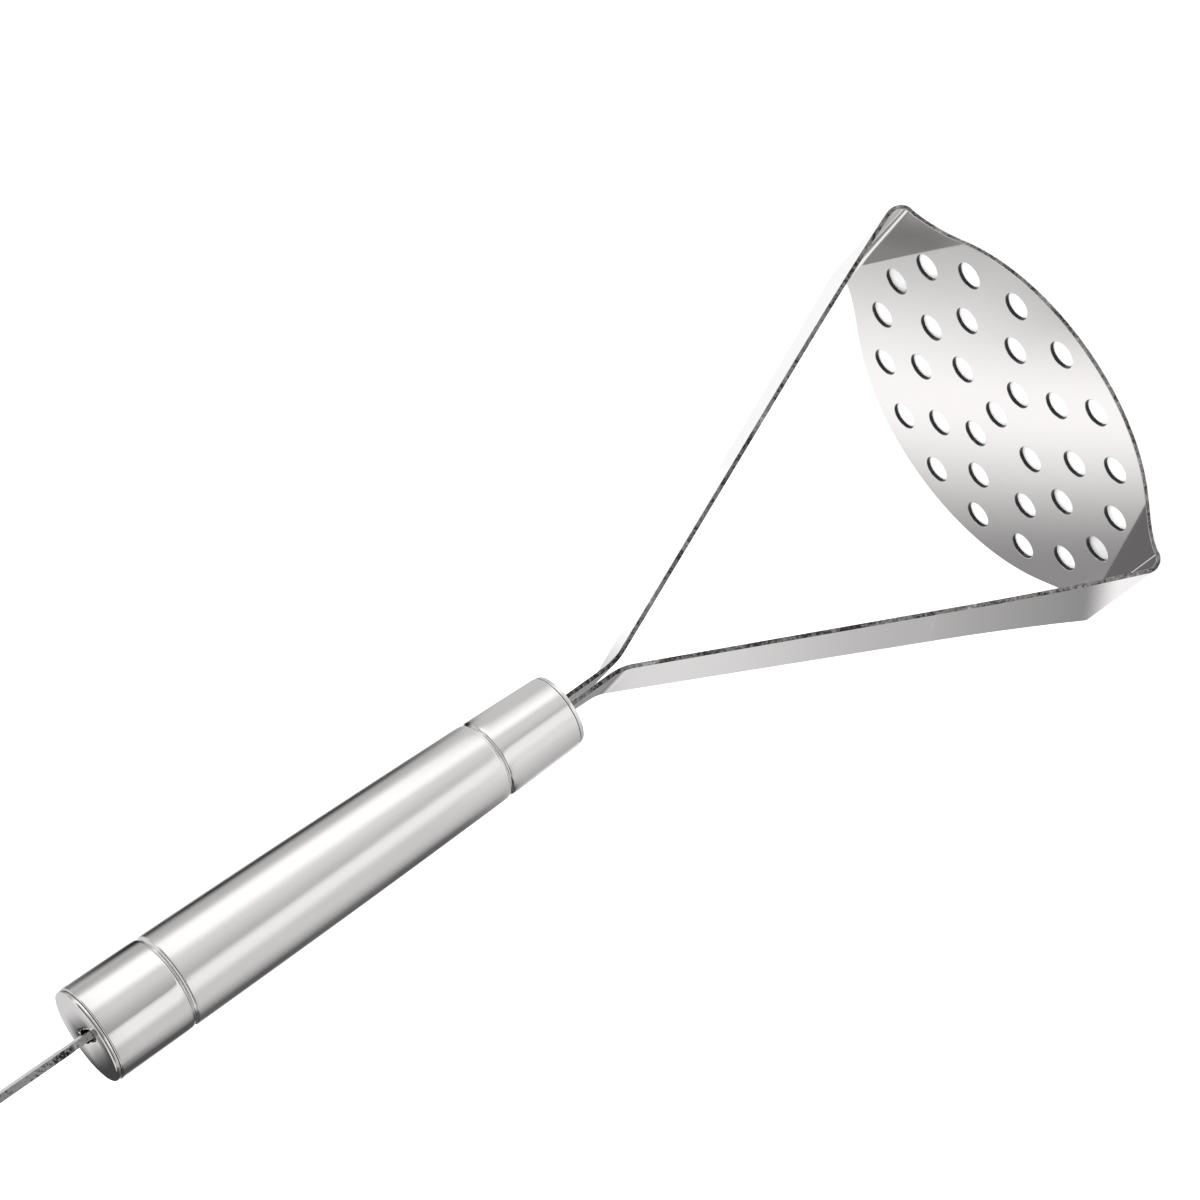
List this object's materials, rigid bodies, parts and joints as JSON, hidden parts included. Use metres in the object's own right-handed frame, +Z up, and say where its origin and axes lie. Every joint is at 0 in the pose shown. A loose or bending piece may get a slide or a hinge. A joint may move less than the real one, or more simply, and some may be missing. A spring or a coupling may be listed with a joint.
{
  "type": "potato masher",
  "caption": "Hand potato masher: a perforated plate with two folded arms on a hollow tapered steel handle, with a flat bar and eye to hang it by.",
  "frame": {"origin": "centre of the mashing plate's underside, which lies in the plane z = 0 that the masher stands on", "axes": "+Z up along the handle, X from arm to arm, Y across the strip that the arms are cut from"},
  "size_m": [0.0887, 0.0832, 0.254],
  "materials": {
    "blade_steel": "bright rolled and buffed stainless steel, with grey sheared edges",
    "handle_steel": "satin between the grooves, mirror polished at both ends",
    "cap_steel": "polished, pressed",
    "bar_steel": "plain sheet with mottled sheared edges",
    "weld_steel": "as welded"
  },
  "bodies": {
    "root": {"masher_blade": "blade_steel", "handle_tube": "handle_steel", "front_cap": "cap_steel", "rear_cap": "cap_steel", "hanging_bar": "bar_steel", "front_weld_left": "weld_steel", "front_weld_right": "weld_steel", "rear_weld_left": "weld_steel", "rear_weld_right": "weld_steel"}
  },
  "joints": []
}
